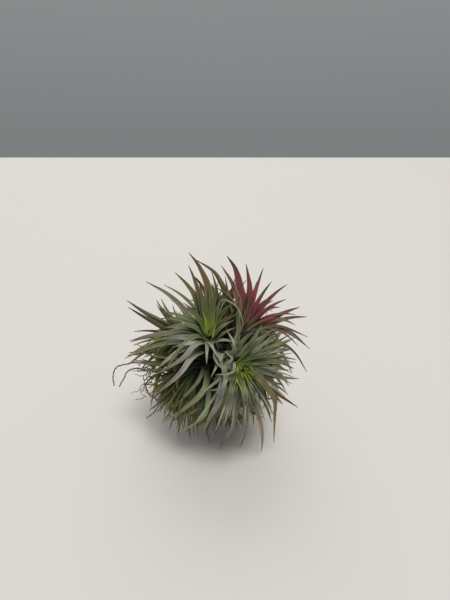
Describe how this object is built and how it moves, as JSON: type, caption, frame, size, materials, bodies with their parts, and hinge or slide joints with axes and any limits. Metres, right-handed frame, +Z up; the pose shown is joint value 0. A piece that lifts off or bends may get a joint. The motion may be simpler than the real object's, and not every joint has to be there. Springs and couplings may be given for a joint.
{
  "type": "air plant",
  "caption": "Ball-shaped clump of stiff-leaved air plant rosettes on one woody rootstock, with a few wiry roots; lies loose on a surface.",
  "frame": {"origin": "on the ground, under the middle of the clump's box", "axes": "+Z up; +X to the right and -Y towards the viewer, on the side where the hearts show"},
  "size_m": [0.1075, 0.0919, 0.102],
  "materials": {
    "silver_green_leaf": "matte, grey scale hairs over grey-green",
    "red_leaf": "matte, dull red with dark tips",
    "lime_leaf": "matte, fresh grey-green",
    "green_leaf": "matte green",
    "olive_leaf": "matte olive-brown",
    "heart": "matte lime green",
    "rootstock": "rough bark",
    "root": "dry, wiry"
  },
  "bodies": {
    "root": {"back_low_heart": "heart", "back_low_leaf_01": "green_leaf", "back_low_leaf_02": "green_leaf", "back_low_leaf_03": "green_leaf", "back_low_leaf_04": "green_leaf", "back_low_leaf_05": "green_leaf", "back_low_leaf_06": "green_leaf", "back_low_leaf_07": "green_leaf", "back_top_heart": "heart", "back_top_leaf_01": "green_leaf", "back_top_leaf_02": "green_leaf", "back_top_leaf_03": "green_leaf", "back_top_leaf_04": "green_leaf", "back_top_leaf_05": "green_leaf", "back_top_leaf_06": "green_leaf", "left_heart": "heart", "left_leaf_01": "olive_leaf", "left_leaf_02": "olive_leaf", "left_leaf_03": "olive_leaf", "left_leaf_04": "olive_leaf", "left_leaf_05": "olive_leaf", "lime_heart": "heart", "lime_leaf_01": "lime_leaf", "lime_leaf_02": "lime_leaf", "lime_leaf_03": "lime_leaf", "lime_leaf_04": "lime_leaf", "lime_leaf_05": "lime_leaf", "lime_leaf_06": "lime_leaf", "lime_leaf_07": "lime_leaf", "lime_leaf_08": "lime_leaf", "low_heart": "heart", "low_leaf_01": "green_leaf", "low_leaf_02": "green_leaf", "low_leaf_03": "green_leaf", "low_leaf_04": "green_leaf", "low_leaf_05": "green_leaf", "low_leaf_06": "green_leaf", "pup_heart": "heart", "red_heart": "heart", "red_leaf_01": "red_leaf", "red_leaf_02": "red_leaf", "red_leaf_03": "red_leaf", "red_leaf_04": "red_leaf", "red_leaf_05": "red_leaf", "red_leaf_06": "red_leaf", "red_leaf_07": "red_leaf", "red_leaf_08": "red_leaf", "root_1": "root", "root_2": "root", "root_3": "root", "rootstock": "rootstock", "upper_heart": "heart", "upper_leaf_01": "silver_green_leaf", "upper_leaf_02": "silver_green_leaf", "upper_leaf_03": "silver_green_leaf", "upper_leaf_04": "silver_green_leaf", "upper_leaf_05": "silver_green_leaf", "upper_leaf_06": "silver_green_leaf", "upper_leaf_07": "silver_green_leaf", "upper_leaf_08": "silver_green_leaf"}
  },
  "joints": []
}
